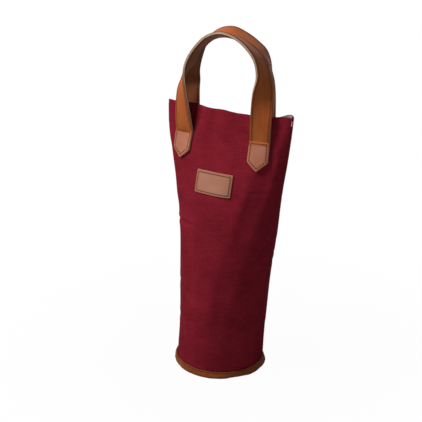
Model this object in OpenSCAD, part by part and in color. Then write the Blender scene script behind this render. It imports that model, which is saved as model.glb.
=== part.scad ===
// Tall padded carrier bag: a canvas tube on a round bound base, with two leather loop handles.
// Units are millimetres. Z is up, the front with the patch faces -Y, and the part stands on Z = 0.
// X = 0 is the middle of the mouth. The soft tube leans a little, so the base sits left of it.

/* [Body] */
// height of the canvas tube from the floor to its mouth
body_height = 365; // [300:1:420]
// width of the mouth from side seam to side seam
mouth_width = 186; // [150:1:220]
// thickness of the outer canvas
canvas = 1.0; // [0.6:0.1:1.6]
// thickness of the foam between canvas and lining
foam = 3.0; // [1.5:0.5:5]
// thickness of the silver-grey lining
lining = 0.4; // [0.2:0.1:1]
// air left between one layer and the next
layer_gap = 0.3; // [0.2:0.05:0.5]
// depth of the facing sewn inside the mouth
facing_depth = 28; // [15:1:40]
// thickness of that facing
facing = 0.8; // [0.5:0.1:1.5]

/* [Base] */
// height of the leather binding round the base
binding_height = 10.5; // [8:0.5:16]
// thickness of the binding leather
binding_leather = 1.4; // [1:0.1:2]
// thickness of the board that keeps the base flat
board = 2; // [1:0.5:4]
// thickness of the foam pad on the board
base_pad = 3; // [2:0.5:6]

/* [Handles] */
// width of the leather strap
strap_width = 27; // [20:1:34]
// thickness of one of the two leather plies
ply = 1.55; // [1.2:0.05:2]
// glue line between the two plies
glue = 0.1; // [0.05:0.05:0.3]
// distance between the two straps of one handle, centre to centre
strap_spacing = 113; // [90:1:130]
// distance from the mouth down to the stitch row across each strap
stitch_drop = 33; // [25:1:45]
// length of the pointed tab below that row
tab_length = 36; // [28:1:45]
// height of the point of the tab
tab_point = 11.5; // [8:0.5:16]

/* [Patch] */
// width of the blank leather patch
patch_width = 54; // [40:1:70]
// height of the patch
patch_height = 30; // [20:1:40]
// thickness of the patch
patch_leather = 1.5; // [1:0.1:2.5]
// height of the middle of the patch above the floor
patch_centre = 274; // [230:1:300]

/* [Hidden] */
$fn = 96;

// The tube keeps one girth: round at the base, then flatter and wider up to the mouth.
// Each row: height, half width, half depth, sideways shift, forward bow, roundness.
kz = body_height / 365;
kw = mouth_width / 186;
profile = [
    [2, 60.4, 60.4, -12, 0, 1],          [12, 60.2, 60.4, -11.7, 0, 1],
    [55, 59.3, 62.7, -8.7, 0, 1],        [90, 60.3, 61.8, -6.4, 0, 1],
    [128, 62.4, 59.3, -4.3, 0, 1],       [164, 65.2, 56.2, -2.6, 0, 1],
    [200, 69.1, 52.3, -0.8, 0, 1],       [238, 73.3, 46.1, -0.6, 0, 0.97],
    [274, 78.3, 36.5, -0.9, 0.6, 0.86],  [300, 83.8, 27, -1.6, 1.2, 0.79],
    [322, 88.5, 18.8, -2, 2, 0.75],      [337, 90.8, 13.9, -1.5, 3, 0.75],
    [351, 92.3, 9.8, -0.7, 4.1, 0.78],   [365, 93, 6, 0, 5.2, 0.8]];
ring_heights = [for (r = profile) r[0] * kz];
function column(c, k) = [for (r = profile) [r[0] * kz, r[c] * k]];
half_widths = column(1, kw);
half_depths = column(2, kw);
shifts = column(3, kw);
bows = column(4, kw);
roundness = column(5, 1);
base_r = 60.4 * kw;
base_x = -12 * kw;
handle_x = -1;

// layers of the wall, each as its outer and inner distance in from the canvas face
facing_in = canvas + layer_gap;
foam_in = canvas + layer_gap;
lining_in = foam_in + foam + layer_gap;
mouth_lining_in = facing_in + facing + layer_gap;
facing_low = body_height - facing_depth;
foam_top = facing_low - 5;
inner_low = 17;
columns = 16;

// straps
row_z = body_height - stitch_drop;
strap_t = 2 * ply + glue;
strap_gap = 0.25;
hinge_gap = 0.6;

// the point of the canvas face at height z and at angle a round the tube, moved in by d
function wall(z, a, d) =
    let (w = lookup(z, half_widths) - d, h = lookup(z, half_depths) - d, s = sin(a),
         e = lookup(z, roundness), lift = pow(abs(s), e))
    [lookup(z, shifts) + w * cos(a),
     (s < 0 ? -1 : 1) * h * lift - lookup(z, bows) * s * s, z];

// depth of the canvas face at x and z: side is -1 on the front and 1 on the back
function face_y(x, z, side) =
    let (k = (x - lookup(z, shifts)) / lookup(z, half_widths), q = max(0, 1 - k * k))
    side * lookup(z, half_depths) * pow(q, lookup(z, roundness) / 2) - lookup(z, bows) * q;

// A closed solid between two grids of points, rows up and columns across. Seen from the side of
// grid a, its columns run to the right.
module slab(a, b) {
    rows = len(a);
    cols = len(a[0]);
    n = rows * cols;
    points = concat([for (r = a) for (p = r) p], [for (r = b) for (p = r) p]);
    quads = concat(
        [for (i = [0:rows - 2]) for (j = [0:cols - 2])
            [i * cols + j, (i + 1) * cols + j, (i + 1) * cols + j + 1, i * cols + j + 1]],
        [for (i = [0:rows - 2]) for (j = [0:cols - 2])
            [n + i * cols + j, n + i * cols + j + 1, n + (i + 1) * cols + j + 1, n + (i + 1) * cols + j]],
        [for (j = [0:cols - 2]) [j, j + 1, n + j + 1, n + j]],
        [for (j = [0:cols - 2]) let (k = (rows - 1) * cols + j) [k + 1, k, n + k, n + k + 1]],
        [for (i = [0:rows - 2]) let (k = i * cols) [k + cols, k, n + k, n + k + cols]],
        [for (i = [0:rows - 2]) let (k = i * cols + cols - 1) [k, k + cols, n + k + cols, n + k]]);
    polyhedron(points, [for (q = quads) each [[q[0], q[1], q[2]], [q[0], q[2], q[3]]]]);
}

// heights of the rings between low and high, with both ends
function rings(low, high) =
    concat([low], [for (z = ring_heights) if (z > low + 2 && z < high - 2) z], [high]);

// half of a layer of the wall: side is -1 for the front half and 1 for the back half
module half_wall(side, zs, outer, inner) {
    seam = 0.35;
    start = side < 0 ? 180 + seam : seam;
    step = (180 - 2 * seam) / columns;
    a = [for (i = [0:len(zs) - 1]) [for (j = [0:columns]) wall(zs[i], start + j * step, outer[i])]];
    b = [for (i = [0:len(zs) - 1]) [for (j = [0:columns]) wall(zs[i], start + j * step, inner[i])]];
    slab(a, b);
}

module layer(side, low, high, outer, thick) {
    zs = rings(low, high);
    half_wall(side, zs, [for (z = zs) outer], [for (z = zs) outer + thick]);
}

// the lining steps out behind the facing, where the foam stops
module lining_half(side) {
    zs = concat(rings(inner_low, foam_top + 1), [facing_low - 1.5],
                [for (z = ring_heights) if (z > facing_low + 4 && z < body_height - 4) z],
                [body_height - 1]);
    outer = [for (z = zs) z > foam_top + 2 ? mouth_lining_in : lining_in];
    half_wall(side, zs, outer, [for (d = outer) d + lining]);
}

module front_panel() color([0.42, 0.09, 0.13]) layer(-1, 2, body_height, 0, canvas);
module back_panel() color([0.42, 0.09, 0.13]) layer(1, 2, body_height, 0, canvas);
module front_facing() color([0.36, 0.08, 0.11])
    layer(-1, facing_low, body_height - 0.6, facing_in, facing);
module back_facing() color([0.36, 0.08, 0.11])
    layer(1, facing_low, body_height - 0.6, facing_in, facing);
module front_foam() color([0.9, 0.9, 0.87]) layer(-1, inner_low, foam_top, foam_in, foam);
module back_foam() color([0.9, 0.9, 0.87]) layer(1, inner_low, foam_top, foam_in, foam);
module front_lining() color([0.66, 0.68, 0.68]) lining_half(-1);
module back_lining() color([0.66, 0.68, 0.68]) lining_half(1);

// The base is a shallow cap inside the tube. Its skirt is bound together with the lower edge of
// the tube, and the board, the pad and the lining lie on it.
cap_z = 8;
cap_r = base_r - canvas - 1;
skirt_r = cap_r - 1;
board_z = cap_z + 1 + layer_gap;
pad_z = board_z + board + layer_gap;
base_lining_z = pad_z + base_pad + layer_gap;

module on_base() translate([base_x, 0, 0]) children();

module base_panel() color([0.42, 0.09, 0.13]) on_base() rotate_extrude()
    polygon([[0, cap_z], [skirt_r, cap_z], [skirt_r, 2], [cap_r, 2], [cap_r, cap_z + 1], [0, cap_z + 1]]);
module base_board() color([0.55, 0.44, 0.3]) on_base()
    translate([0, 0, board_z]) cylinder(h = board, r = cap_r - 1);
module base_foam() color([0.9, 0.9, 0.87]) on_base()
    translate([0, 0, pad_z]) cylinder(h = base_pad, r = cap_r - 1.5);
module base_lining() color([0.66, 0.68, 0.68]) on_base()
    translate([0, 0, base_lining_z]) cylinder(h = lining, r = cap_r - 4);

// a leather strip folded round the edge of the base, flaring where it covers the seam
bind_top = base_r + 0.4;
bind_in = skirt_r - 0.4;
module base_binding() color([0.38, 0.18, 0.09]) on_base() rotate_extrude()
    polygon([[bind_in - binding_leather, 0.8], [bind_in - binding_leather + 0.8, 0],
             [base_r + 3.3, 0], [base_r + 3.9, 1.2], [base_r + 3, binding_height / 2],
             [bind_top + binding_leather, binding_height], [bind_top, binding_height],
             [base_r + 1.5, binding_height / 2], [base_r + 2.2, binding_leather],
             [bind_in, binding_leather], [bind_in, cap_z - 1], [bind_in - binding_leather, cap_z - 1]]);

// a thin piece of leather lying on the face of the tube, with its outline given row by row
module on_face(side, x, zs, halves, thick) {
    n = 4;
    inner = [for (i = [0:len(zs) - 1]) [for (j = [-n:n])
        let (px = x + halves[i] * j / n) [px, face_y(px, zs[i], side) + side * strap_gap, zs[i]]]];
    outer = [for (r = inner) [for (p = r) p + [0, side * thick * 1.05, 0]]];
    if (side < 0) slab(outer, inner);
    else slab(inner, outer);
}

module leather_patch() color([0.55, 0.33, 0.25]) {
    low = patch_centre - patch_height / 2;
    zs = [for (i = [0:4]) low + patch_height * i / 4];
    on_face(-1, handle_x, zs, [for (z = zs) patch_width / 2], patch_leather);
}

// a pointed tab: its full width runs down to the shoulders, then it narrows to the tip
module tab(side, x) color([0.52, 0.3, 0.2]) {
    tip = row_z - tab_length;
    zs = [tip, tip + tab_point / 2, tip + tab_point, tip + tab_point + 8, tip + tab_point + 16, row_z];
    half = strap_width / 2;
    on_face(side, x, zs, [0.6, half / 2, half, half, half, half], strap_t);
}

back_shift = -7;
module front_left_tab() tab(-1, handle_x - strap_spacing / 2);
module front_right_tab() tab(-1, handle_x + strap_spacing / 2);
module back_left_tab() tab(1, handle_x + back_shift - strap_spacing / 2);
module back_right_tab() tab(1, handle_x + back_shift + strap_spacing / 2);

// Each handle is a strap that twists a quarter turn in each leg, so that it lies flat at the top.
// The rows give its two edges as x, y and height above the stitch row, from left to right.
// On the front handle the first edge is the inner one of each leg, and on the back one the outer.
// At the top the back handle stands close behind the front one, and its far edge rises above it.
front_edges = [
    [-46, -20.5, 25.5, -71, -13, 25.5], [-51.5, -21.5, 53.5, -73, -5, 53.5],
    [-54, -22, 73.5, -63.5, 2.5, 73.5], [-50.5, -22, 91.5, -49, 4.5, 89.7],
    [-38.5, -22, 110, -38, 4.5, 109],   [-21, -22, 126.3, -19.5, 4.5, 122.6],
    [0, -22, 133, 0.5, 3.7, 124.8],     [20, -22, 129, 17.5, 4, 122.2],
    [37.5, -22, 117.5, 34, 4.2, 113],   [49, -22, 102.5, 46, 4, 100.2],
    [52.5, -22, 83.5, 53.7, 2.5, 83],   [48.5, -21.5, 61.5, 64, -4.5, 61.5],
    [45.5, -20.5, 29.5, 70, -13, 29.5]];
back_edges = [
    [-78.5, 8, 25.5, -52.5, 13, 25.5],  [-77.5, 5.5, 51.5, -56.5, 19, 51.5],
    [-71, 5.5, 74, -63.5, 28, 69],      [-60, 6.5, 92.5, -60.5, 31, 91],
    [-46.5, 7, 107, -50.5, 32, 111],    [-29, 7.2, 118, -33.5, 32, 126],
    [-12, 7.4, 122.8, -13, 32.5, 131],  [6, 7.4, 121.6, 5.5, 33, 125.4],
    [24, 7.4, 116, 23.5, 33, 115.5],    [38.5, 7.2, 107, 36.5, 32.5, 104.6],
    [51, 8, 95, 43, 30.5, 87],          [57.5, 7, 82, 43.5, 26, 76],
    [62.3, 5.5, 66.5, 43, 20.5, 61],    [62.5, 9, 33.5, 37, 15.5, 33.5]];

// the foot of a leg stands in line with its tab
function foot(side, shift, first, second) =
    let (z = row_z + hinge_gap,
         y1 = face_y(handle_x + shift + first, row_z, side), y2 = face_y(handle_x + shift + second, row_z, side),
         off = side * (strap_gap + strap_t * 1.05 / 2))
    [handle_x + shift + first, y1 + off, z, handle_x + shift + second, y2 + off, z];
inner_x = strap_spacing / 2 - strap_width / 2;
outer_x = strap_spacing / 2 + strap_width / 2;
function lifted(rows) = [for (r = rows) r + [handle_x, 0, row_z, handle_x, 0, row_z]];
front_rows = concat([foot(-1, 0, -inner_x, -outer_x)], lifted(front_edges), [foot(-1, 0, inner_x, outer_x)]);
back_rows = concat([foot(1, back_shift, -outer_x, -inner_x)], lifted(back_edges),
                   [foot(1, back_shift, outer_x, inner_x)]);

// smooth edge positions at s, where whole numbers are the rows
function edges_at(rows, s) =
    let (m = len(rows) - 1, i = min(floor(s), m - 1), t = s - i,
         a = rows[max(i - 1, 0)], b = rows[i], c = rows[i + 1], d = rows[min(i + 2, m)])
    0.5 * (2 * b + (c - a) * t + (2 * a - 5 * b + 4 * c - d) * t * t + (3 * b - a - 3 * c + d) * t * t * t);
function unit(v) = v / norm(v);
function middle(e) = [e[0] + e[3], e[1] + e[4], e[2] + e[5]] / 2;
function across(e) = unit([e[3] - e[0], e[4] - e[1], e[5] - e[2]]);
function strap_frame(rows, s) =
    let (m = len(rows) - 1, e = edges_at(rows, s), u = across(e),
         t = middle(edges_at(rows, min(m, s + 0.05))) - middle(edges_at(rows, max(0, s - 0.05))))
    [middle(e), u, unit(cross(t, u))];
steps = 3;
function strap_face(rows, off) = [for (k = [0:(len(rows) - 1) * steps])
    let (f = strap_frame(rows, k / steps), w = strap_width / 2)
    [f[0] - f[1] * w + f[2] * off, f[0] + f[1] * w + f[2] * off]];
module strap(rows, low, high) slab(strap_face(rows, low), strap_face(rows, high));

outer_low = glue / 2;
outer_high = glue / 2 + ply;
module front_handle_outer_ply() color([0.5, 0.27, 0.15]) strap(front_rows, outer_low, outer_high);
module front_handle_inner_ply() color([0.42, 0.22, 0.12]) strap(front_rows, -outer_high, -outer_low);
module back_handle_outer_ply() color([0.5, 0.27, 0.15]) strap(back_rows, outer_low, outer_high);
module back_handle_inner_ply() color([0.42, 0.22, 0.12]) strap(back_rows, -outer_high, -outer_low);

front_panel();
back_panel();
front_facing();
back_facing();
front_foam();
back_foam();
front_lining();
back_lining();
base_panel();
base_board();
base_foam();
base_lining();
base_binding();
leather_patch();
front_left_tab();
front_right_tab();
back_left_tab();
back_right_tab();
front_handle_outer_ply();
front_handle_inner_ply();
back_handle_outer_ply();
back_handle_inner_ply();
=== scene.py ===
import math
import bpy
import numpy as np
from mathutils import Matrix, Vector, noise
from mathutils.bvhtree import BVHTree


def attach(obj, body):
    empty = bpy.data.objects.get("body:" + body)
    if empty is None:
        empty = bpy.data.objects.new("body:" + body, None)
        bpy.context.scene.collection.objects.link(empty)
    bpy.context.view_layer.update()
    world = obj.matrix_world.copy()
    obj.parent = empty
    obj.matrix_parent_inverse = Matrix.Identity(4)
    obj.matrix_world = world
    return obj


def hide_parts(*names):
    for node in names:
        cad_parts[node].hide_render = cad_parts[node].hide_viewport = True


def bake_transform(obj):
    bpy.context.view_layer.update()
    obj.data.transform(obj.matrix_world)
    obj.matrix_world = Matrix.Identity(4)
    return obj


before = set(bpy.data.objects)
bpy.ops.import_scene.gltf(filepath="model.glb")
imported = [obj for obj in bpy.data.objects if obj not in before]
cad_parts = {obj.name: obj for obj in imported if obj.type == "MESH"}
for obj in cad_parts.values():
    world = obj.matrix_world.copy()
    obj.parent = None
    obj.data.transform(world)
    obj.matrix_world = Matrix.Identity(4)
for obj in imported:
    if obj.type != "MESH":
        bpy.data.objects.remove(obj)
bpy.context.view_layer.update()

mm = 0.001
print("scene: frame loaded,", len(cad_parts), "nodes")


def srgb(red, green, blue):
    # a colour as a picture shows it, 0 to 255, turned into what a shader wants
    steps = [c / 255 for c in (red, green, blue)]
    return tuple(c / 12.92 if c < 0.04045 else ((c + 0.055) / 1.055) ** 2.4 for c in steps) + (1.0,)


def ease(value, low, high):
    t = np.clip((np.asarray(value, float) - low) / (high - low), 0, 1)
    return t * t * (3 - 2 * t)


def hump(value, centre, width):
    return np.exp(-((np.asarray(value, float) - centre) / width) ** 2)


def smoothRows(at, heights, values):
    # a smooth curve through the rows of a table
    heights, values = np.asarray(heights, float), np.asarray(values, float)
    slopes = np.gradient(values, heights)
    at = np.clip(at, heights[0], heights[-1])
    i = np.clip(np.searchsorted(heights, at) - 1, 0, len(heights) - 2)
    gap = heights[i + 1] - heights[i]
    t = (at - heights[i]) / gap
    return ((2 * t**3 - 3 * t**2 + 1) * values[i] + (t**3 - 2 * t**2 + t) * gap * slopes[i]
            + (3 * t**2 - 2 * t**3) * values[i + 1] + (t**3 - t**2) * gap * slopes[i + 1])


def unit(v):
    return v / np.maximum(np.linalg.norm(v, axis=-1, keepdims=True), 1e-12)


def makePiece(name, points, faces, materials, faceMaterial=None, cloth=None, marks=None):
    # points are in millimetres; cloth holds a place in metres along the cloth or leather for each point,
    # and marks says how far it is smooth leather, part of a tab, which gets a painted sheen, or groove, which gets
    # painted shade
    mesh = bpy.data.meshes.new(name)
    flat = (np.asarray(points, float).reshape(-1, 3) * mm).tolist()
    mesh.from_pydata(flat, [], [list(map(int, f)) for f in faces])
    for material in materials:
        mesh.materials.append(material)
    if faceMaterial is not None:
        mesh.polygons.foreach_set("material_index", np.asarray(faceMaterial, np.int32))
    mesh.polygons.foreach_set("use_smooth", np.ones(len(mesh.polygons), bool))
    for label, values in (("clothPlace", cloth), ("leatherMarks", marks)):
        if values is not None:
            spot = mesh.attributes.new(label, "FLOAT_VECTOR", "POINT")
            spot.data.foreach_set("vector", np.asarray(values, np.float32).ravel())
    mesh.update()
    piece = bpy.data.objects.new(name, mesh)
    bpy.context.scene.collection.objects.link(piece)
    return piece


def bothFaces(part):
    # the same values again for the back face of a flat piece, in the order of its loops
    return np.concatenate([part, part[:, ::-1]], 1)


def quadGrid(rows, cols, first=0, wrapRows=False, wrapCols=False):
    r = np.arange(rows if wrapRows else rows - 1)
    c = np.arange(cols if wrapCols else cols - 1)
    r, c = np.meshgrid(r, c, indexing="ij")
    r2, c2 = (r + 1) % rows, (c + 1) % cols
    quads = np.stack([r * cols + c, r * cols + c2, r2 * cols + c2, r2 * cols + c], -1).reshape(-1, 4)
    return quads + first


def loftLoops(loops, flip=False):
    # closed loops one after another, with both ends closed by strips between the two faces of the loop
    rows, cols = loops.shape[:2]
    faces = quadGrid(rows, cols, wrapCols=True)
    caps = []
    half = cols // 2
    for row, turned in ((0, True), (rows - 1, False)):
        for k in range(half - 1):
            quad = [row * cols + k, row * cols + k + 1, row * cols + cols - 2 - k, row * cols + cols - 1 - k]
            quad = list(dict.fromkeys(quad))
            caps.append(quad[::-1] if turned else quad)
    faces = faces.tolist() + [c for c in caps if len(c) > 2]
    return [f[::-1] for f in faces] if flip else faces


class Wire:
    # the output of a node, ready for plain arithmetic
    def __init__(self, board, socket):
        self.board, self.socket = board, socket

    def maths(self, operation, first, second):
        return self.board.add("ShaderNodeMath", {"operation": operation}, {0: first, 1: second})

    def __add__(self, other):
        return self.maths("ADD", self, other)

    def __sub__(self, other):
        return self.maths("SUBTRACT", self, other)

    def __rsub__(self, other):
        return self.maths("SUBTRACT", other, self)

    def __mul__(self, other):
        return self.maths("MULTIPLY", self, other)

    __radd__ = __add__
    __rmul__ = __mul__


class Board:
    # the nodes of one material, or of the world
    def __init__(self, owner):
        self.owner = bpy.data.materials.new(owner) if isinstance(owner, str) else owner
        self.owner.use_nodes = True
        self.tree = self.owner.node_tree
        self.tree.nodes.clear()

    def add(self, kind, settings=None, inputs=None, out=0):
        node = self.tree.nodes.new(kind)
        for key, value in (settings or {}).items():
            if key == "stops":
                ramp = node.color_ramp
                while len(ramp.elements) < len(value):
                    ramp.elements.new(0.5)
                for element, (position, colour) in zip(ramp.elements, value):
                    element.position, element.color = position, colour
            else:
                setattr(node, key, value)
        for key, value in (inputs or {}).items():
            if isinstance(value, Wire):
                self.tree.links.new(value.socket, node.inputs[key])
            else:
                node.inputs[key].default_value = value
        return Wire(self, node.outputs[out]) if len(node.outputs) else None

    def place(self, name):
        return self.add("ShaderNodeAttribute", {"attribute_name": name}, out="Vector")

    def split(self, vector):
        return [self.add("ShaderNodeSeparateXYZ", {}, {0: vector}, k) for k in range(3)]

    def stretch(self, vector, scale):
        return self.add("ShaderNodeVectorMath", {"operation": "MULTIPLY"}, {0: vector, 1: scale})

    def mix(self, factor, first, second):
        settings = {"data_type": "RGBA", "blend_type": "MIX"}
        return self.add("ShaderNodeMix", settings, {0: factor, 6: first, 7: second}, 2)

    def noise(self, vector, scale, detail=3.0, rough=0.55):
        inputs = {"Vector": vector, "Scale": scale, "Detail": detail, "Roughness": rough}
        return self.add("ShaderNodeTexNoise", {}, inputs)

    def bands(self, vector, scale, way="DIAGONAL", distortion=0.0):
        settings = {"wave_type": "BANDS", "bands_direction": way, "wave_profile": "SIN"}
        return self.add("ShaderNodeTexWave", settings, {"Vector": vector, "Scale": scale, "Distortion": distortion}, 1)

    def cells(self, vector, scale):
        return self.add("ShaderNodeTexVoronoi", {"feature": "F1"}, {"Vector": vector, "Scale": scale})

    def ramp(self, factor, *stops):
        grey = [(p, (v, v, v, 1.0)) for p, v in stops]
        return self.add("ShaderNodeValToRGB", {"stops": grey}, {0: factor})

    def bump(self, height, strength, distance):
        return self.add("ShaderNodeBump", {}, {"Height": height, "Strength": strength, "Distance": distance})

    def finish(self, **sockets):
        names = {key: key.replace("_", " ") for key in sockets}
        surface = self.add("ShaderNodeBsdfPrincipled", {}, {names[k]: v for k, v in sockets.items()})
        self.add("ShaderNodeOutputMaterial", {}, {"Surface": surface})
        return self.owner


canvasLook = {
    "shade": srgb(90, 14, 25), "lit": srgb(132, 31, 45), "slub": srgb(160, 48, 64), "deep": srgb(82, 10, 18),
    "threadsPerMetre": 1300.0, "wander": 0.0012, "roughness": 0.9, "depth": 0.00018,
    # how far the weave and the clouds of colour reach from shade to lit, and how strong each kind of yarn shows
    "weaveShare": 0.35, "cloudShare": 0.6, "acrossShare": 0.26, "alongShare": 0.12, "deepShare": 0.22,
}


def wovenMaterial(name, look):
    b = Board(name)
    place = b.place("clothPlace")
    bend = b.add("ShaderNodeVectorMath", {"operation": "SUBTRACT"}, {0: b.noise(place, 55.0, 2.0), 1: (0.5, 0.5, 0.5)})
    nudged = b.add("ShaderNodeVectorMath", {"operation": "MULTIPLY_ADD"},
                   {0: bend, 1: (look["wander"], look["wander"], 0.0), 2: place})
    # a wave texture makes a little more than three bands for each unit of its scale
    scale = look["threadsPerMetre"] / 3.1416
    weave = b.bands(nudged, scale, "X") * 0.5 + b.bands(nudged, scale, "Y") * 0.5
    # thick and thin yarns make short streaks along and across the cloth
    across = b.ramp(b.noise(b.stretch(place, (70.0, 1100.0, 1.0)), 1.0, 3.0), (0.4, 0.0), (0.7, 1.0))
    along = b.ramp(b.noise(b.stretch(place, (1100.0, 60.0, 1.0)), 1.0, 3.0), (0.4, 0.0), (0.7, 1.0))
    thin = b.ramp(b.noise(b.stretch(place, (50.0, 900.0, 1.0)), 1.0, 2.0), (0.5, 0.0), (0.75, 1.0))
    cloudy = b.ramp(b.noise(place, 30.0, 6.0, 0.65), (0.3, 0.0), (0.72, 1.0))
    colour = b.mix(weave * look["weaveShare"] + cloudy * look["cloudShare"], look["shade"], look["lit"])
    colour = b.mix(across * look["acrossShare"], colour, look["slub"])
    colour = b.mix(along * look["alongShare"], colour, look["slub"])
    colour = b.mix(thin * look["deepShare"], colour, look["deep"])
    height = weave * 0.7 + across * 0.5 + along * 0.45
    rough = cloudy * 0.06 + (look["roughness"] - 0.03)
    return b.finish(Base_Color=colour, Roughness=rough, Normal=b.bump(height, 0.5, look["depth"]),
                    Specular_IOR_Level=0.02)


leatherLook = {
    # the last colour is painted shade for the stitch groove, and also the dark of the burnished rim along the cut
    "dark": srgb(112, 52, 22), "body": srgb(160, 82, 38), "light": srgb(176, 98, 52), "grooveShadeAndRim": srgb(58, 28, 14),
    # the smooth leather inside the stitches, paler and pinker partly from a painted sheen, and a tab's colour, which is
    # a painted sheen where the tabs lie flat on the sloping canvas
    "smooth": srgb(166, 104, 80), "smoothLight": srgb(178, 120, 98), "tab": srgb(182, 118, 90),
    "tabShare": 0.75, "grooveShadeShare": 0.18, "rimShare": 0.75, "tabRimShare": 0.15,
    "roughness": 0.5, "coat": 0.01, "poresPerMetre": 1100.0, "depth": 0.00016,
}


def leatherMaterial(name, look, marked=False):
    b = Board(name)
    place = b.place("clothPlace")
    cloudy = b.ramp(b.noise(place, 32.0, 5.0, 0.6), (0.3, 0.0), (0.7, 1.0))
    streaks = b.ramp(b.noise(b.stretch(place, (40.0, 240.0, 40.0)), 1.0, 3.0), (0.35, 0.0), (0.7, 1.0))
    pits = b.ramp(b.cells(place, look["poresPerMetre"]), (0.1, 0.0), (0.5, 1.0))
    wrinkles = b.noise(b.stretch(place, (300.0, 520.0, 300.0)), 1.0, 4.0, 0.6)
    colour = b.mix(cloudy * 0.6, look["body"], look["light"])
    colour = b.mix(streaks * 0.3, colour, look["dark"])
    colour = b.mix((1.0 - pits) * 0.22, colour, look["dark"])
    rough = cloudy * 0.14 + wrinkles * 0.12 + (look["roughness"] - 0.12)
    if marked:
        # smooth pale leather inside the stitches, paler partly from a painted sheen, and a dark line of painted shade
        # in the groove where they pull in
        smooth, onTab, groove = b.split(b.place("leatherMarks"))
        # the tabs are lighter and pinker: a painted sheen, as they lie flat on the sloping canvas
        colour = b.mix(onTab * look["tabShare"], colour, look["tab"])
        pale = b.mix(cloudy * 0.7, look["smooth"], look["smoothLight"])
        colour = b.mix(smooth, colour, b.mix((1.0 - pits) * 0.08, pale, look["dark"]))
        # painted shade along the stitch groove
        colour = b.mix(groove * look["grooveShadeShare"], colour, look["grooveShadeAndRim"])
        # burnished rim along the cut, where the first mark is below nothing
        rim = smooth * (onTab * (look["rimShare"] - look["tabRimShare"]) - look["rimShare"])
        colour = b.mix(rim, colour, look["grooveShadeAndRim"])
    grain = b.bump(pits * 0.6 + wrinkles * 0.8, 0.3, look["depth"])
    return b.finish(Base_Color=colour, Roughness=rough, Normal=grain, Specular_IOR_Level=0.09,
                    Coat_Weight=look["coat"], Coat_Roughness=0.4)


edgeLook = {"pale": srgb(224, 196, 166), "fibre": srgb(178, 138, 106), "rim": srgb(86, 48, 26), "tabShare": 0.6,
            "ply": 0.00155, "glue": 0.0001}


def edgeMaterial(name, look):
    # the cut edge of two glued plies: a pale fibrous line in each, dark where the dye took and along the glue
    b = Board(name)
    place = b.place("clothPlace")
    lift = b.add("ShaderNodeMath", {"operation": "ABSOLUTE"}, {0: b.split(place)[2]})
    fromMiddle = lift * (1 / look["ply"]) - look["glue"] / 2 / look["ply"]
    line = b.ramp(fromMiddle, (0.06, 0.0), (0.3, 1.0), (0.62, 1.0), (0.9, 0.0))
    fibres = b.ramp(b.noise(b.stretch(place, (180.0, 1800.0, 1800.0)), 1.0, 4.0, 0.65), (0.3, 0.0), (0.75, 1.0))
    patches = b.ramp(b.noise(place, 90.0, 3.0), (0.4, 0.0), (0.8, 1.0))
    colour = b.mix(fibres * 0.4 + patches * 0.35, look["pale"], look["fibre"])
    colour = b.mix(line, look["rim"], colour)
    onTab = b.split(b.place("leatherMarks"))[1]
    colour = b.mix(onTab * look["tabShare"], colour, look["pale"])
    return b.finish(Base_Color=colour, Roughness=fibres * 0.15 + 0.6, Normal=b.bump(fibres, 0.4, 0.0001),
                    Specular_IOR_Level=0.25)


def threadMaterial(name, colour, shade):
    b = Board(name)
    place = b.add("ShaderNodeTexCoord", {}, out="Object")
    twist = b.bands(place, 900.0, distortion=0.6)
    return b.finish(Base_Color=b.mix(twist * 0.6, colour, shade), Roughness=twist * 0.15 + 0.55,
                    Normal=b.bump(twist, 0.4, 0.0001), Specular_IOR_Level=0.12)


def satinMaterial(name, pale, shade):
    # coated lining cloth: very fine weave with a soft shine
    b = Board(name)
    place = b.place("clothPlace")
    weave = b.bands(place, 900.0, distortion=0.4)
    creases = b.ramp(b.noise(b.stretch(place, (60.0, 30.0, 1.0)), 1.0, 5.0), (0.35, 0.0), (0.7, 1.0))
    colour = b.mix(creases * 0.45 + weave * 0.2, pale, shade)
    return b.finish(Base_Color=colour, Roughness=creases * 0.12 + 0.36,
                    Normal=b.bump(weave * 0.3 + creases, 0.3, 0.0003), Specular_IOR_Level=0.5, Sheen_Weight=0.08)


def foamMaterial(name, pale, shade):
    b = Board(name)
    place = b.add("ShaderNodeTexCoord", {}, out="Object")
    cells = b.cells(place, 1400.0)
    return b.finish(Base_Color=b.mix(cells * 0.6, pale, shade), Roughness=cells * 0.1 + 0.8,
                    Normal=b.bump(cells, 0.5, 0.0003), Specular_IOR_Level=0.2)


def boardMaterial(name, pale, shade):
    b = Board(name)
    place = b.add("ShaderNodeTexCoord", {}, out="Object")
    fibres = b.ramp(b.noise(b.stretch(place, (400.0, 90.0, 400.0)), 1.0, 5.0, 0.7), (0.3, 0.0), (0.75, 1.0))
    return b.finish(Base_Color=b.mix(fibres * 0.7, pale, shade), Roughness=fibres * 0.1 + 0.8,
                    Normal=b.bump(fibres, 0.3, 0.0002), Specular_IOR_Level=0.2)


canvasCloth = wovenMaterial("burgundyCanvas", canvasLook)
facingCloth = wovenMaterial("burgundyFacing", {**canvasLook, "lit": srgb(114, 22, 34)})
strapLeather = leatherMaterial("tanStrapLeather", leatherLook, marked=True)
# a darker copy of the strap leather for the inner ply: painted shade for the inner faces
shadedInsideLeather = leatherMaterial("innerStrapLeatherPaintedShade", {
    **leatherLook, "dark": srgb(88, 46, 26), "body": srgb(134, 76, 46), "light": srgb(152, 94, 62)})
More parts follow.
